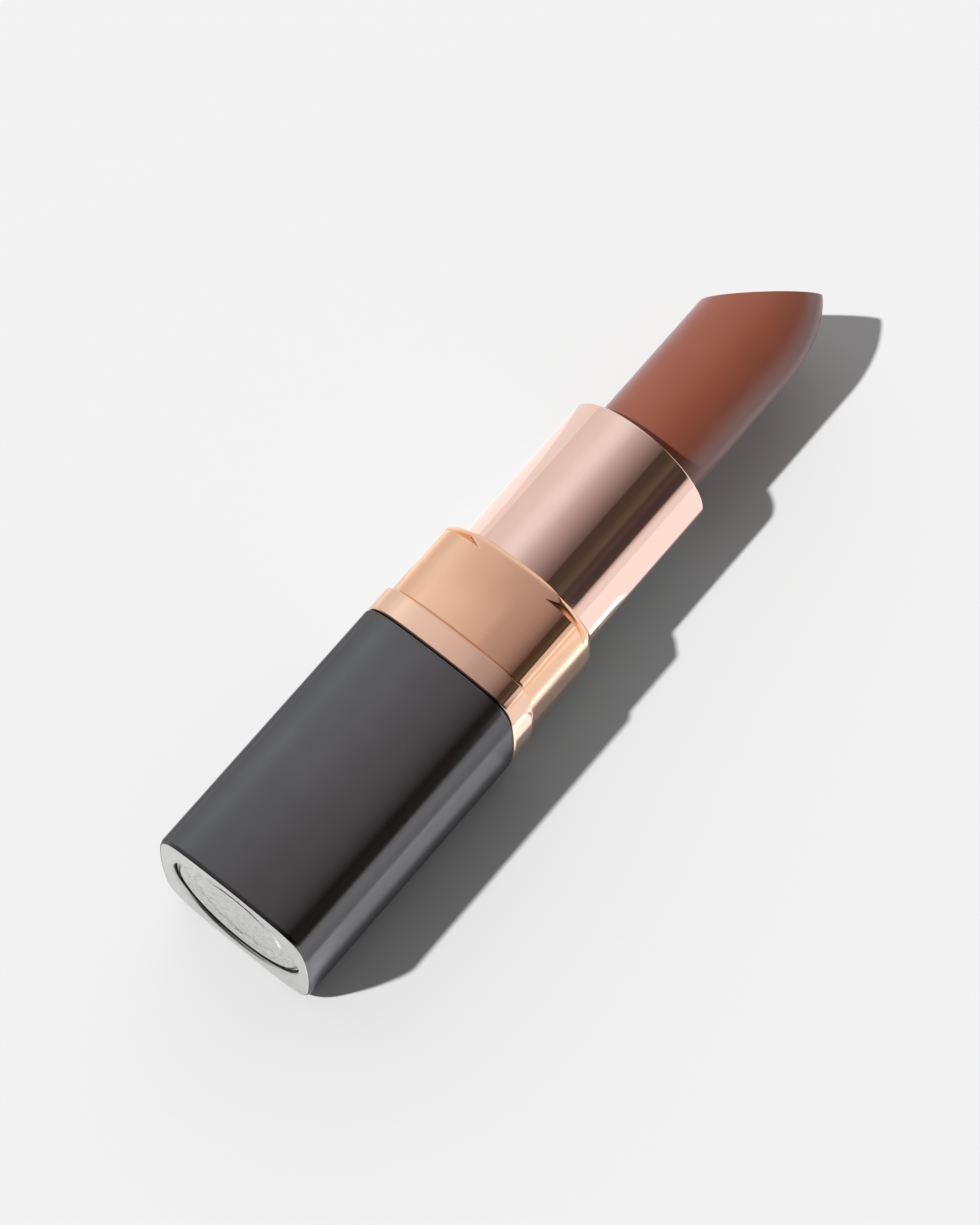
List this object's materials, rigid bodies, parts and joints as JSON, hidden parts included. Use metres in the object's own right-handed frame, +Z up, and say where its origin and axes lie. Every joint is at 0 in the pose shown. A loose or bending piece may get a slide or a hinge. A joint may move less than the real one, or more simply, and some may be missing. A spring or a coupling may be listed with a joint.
{
  "type": "lipstick case",
  "caption": "Twist-up lipstick case lying open: square black base, rose gold ring and collar, round sleeve, and a raised brown lipstick with a slanted tip.",
  "frame": {"origin": "centre of the bounding box in X and Y, on the surface that the case lies on", "axes": "+X along the case axis from the end plate to the tip of the raised lipstick; +Z up out of the surface, square to one flat side of the base; +Y across the base"},
  "size_m": [0.0852, 0.0184, 0.0184],
  "materials": {
    "matte_black": "matte black soft satin coating",
    "satin_silver": "satin silver-grey",
    "embossed_silver": "satin silver-grey, embossed rings",
    "weight_steel": "bright turned steel",
    "dark_plastic": "moulded",
    "silicone": "translucent silicone",
    "white_plastic": "moulded",
    "rose_gold_ring": "polished rose gold",
    "rose_gold_collar": "polished rose gold",
    "rose_gold_sleeve": "polished pale rose gold",
    "cup_plastic": "moulded",
    "lipstick_wax": "soft satin wax"
  },
  "bodies": {
    "base": {"base_shell": "matte_black", "end_plate": "satin_silver", "end_disc": "embossed_silver", "base_weight": "weight_steel", "base_liner": "dark_plastic", "torque_washer": "silicone", "guide_tube": "white_plastic", "retaining_bush": "dark_plastic", "trim_ring": "rose_gold_ring", "collar": "rose_gold_collar"},
    "sleeve": {"outer_sleeve": "rose_gold_sleeve", "spiral_cam": "white_plastic"},
    "carriage": {"bullet_cup": "cup_plastic", "lipstick_bullet": "lipstick_wax"}
  },
  "joints": [
    {"name": "sleeve_twist", "type": "hinge", "parent": "base", "child": "sleeve", "pos_m": [0, 0, 0.0092], "axis": [1, 0, 0], "range_deg": [0, 450]},
    {"name": "bullet_travel", "type": "slide", "parent": "base", "child": "carriage", "axis": [1, 0, 0], "range_m": [-0.02601, 0]}
  ],
  "couplings": [
    {"joint": "bullet_travel", "follows": "sleeve_twist", "m_per_rad": -0.0033104}
  ]
}
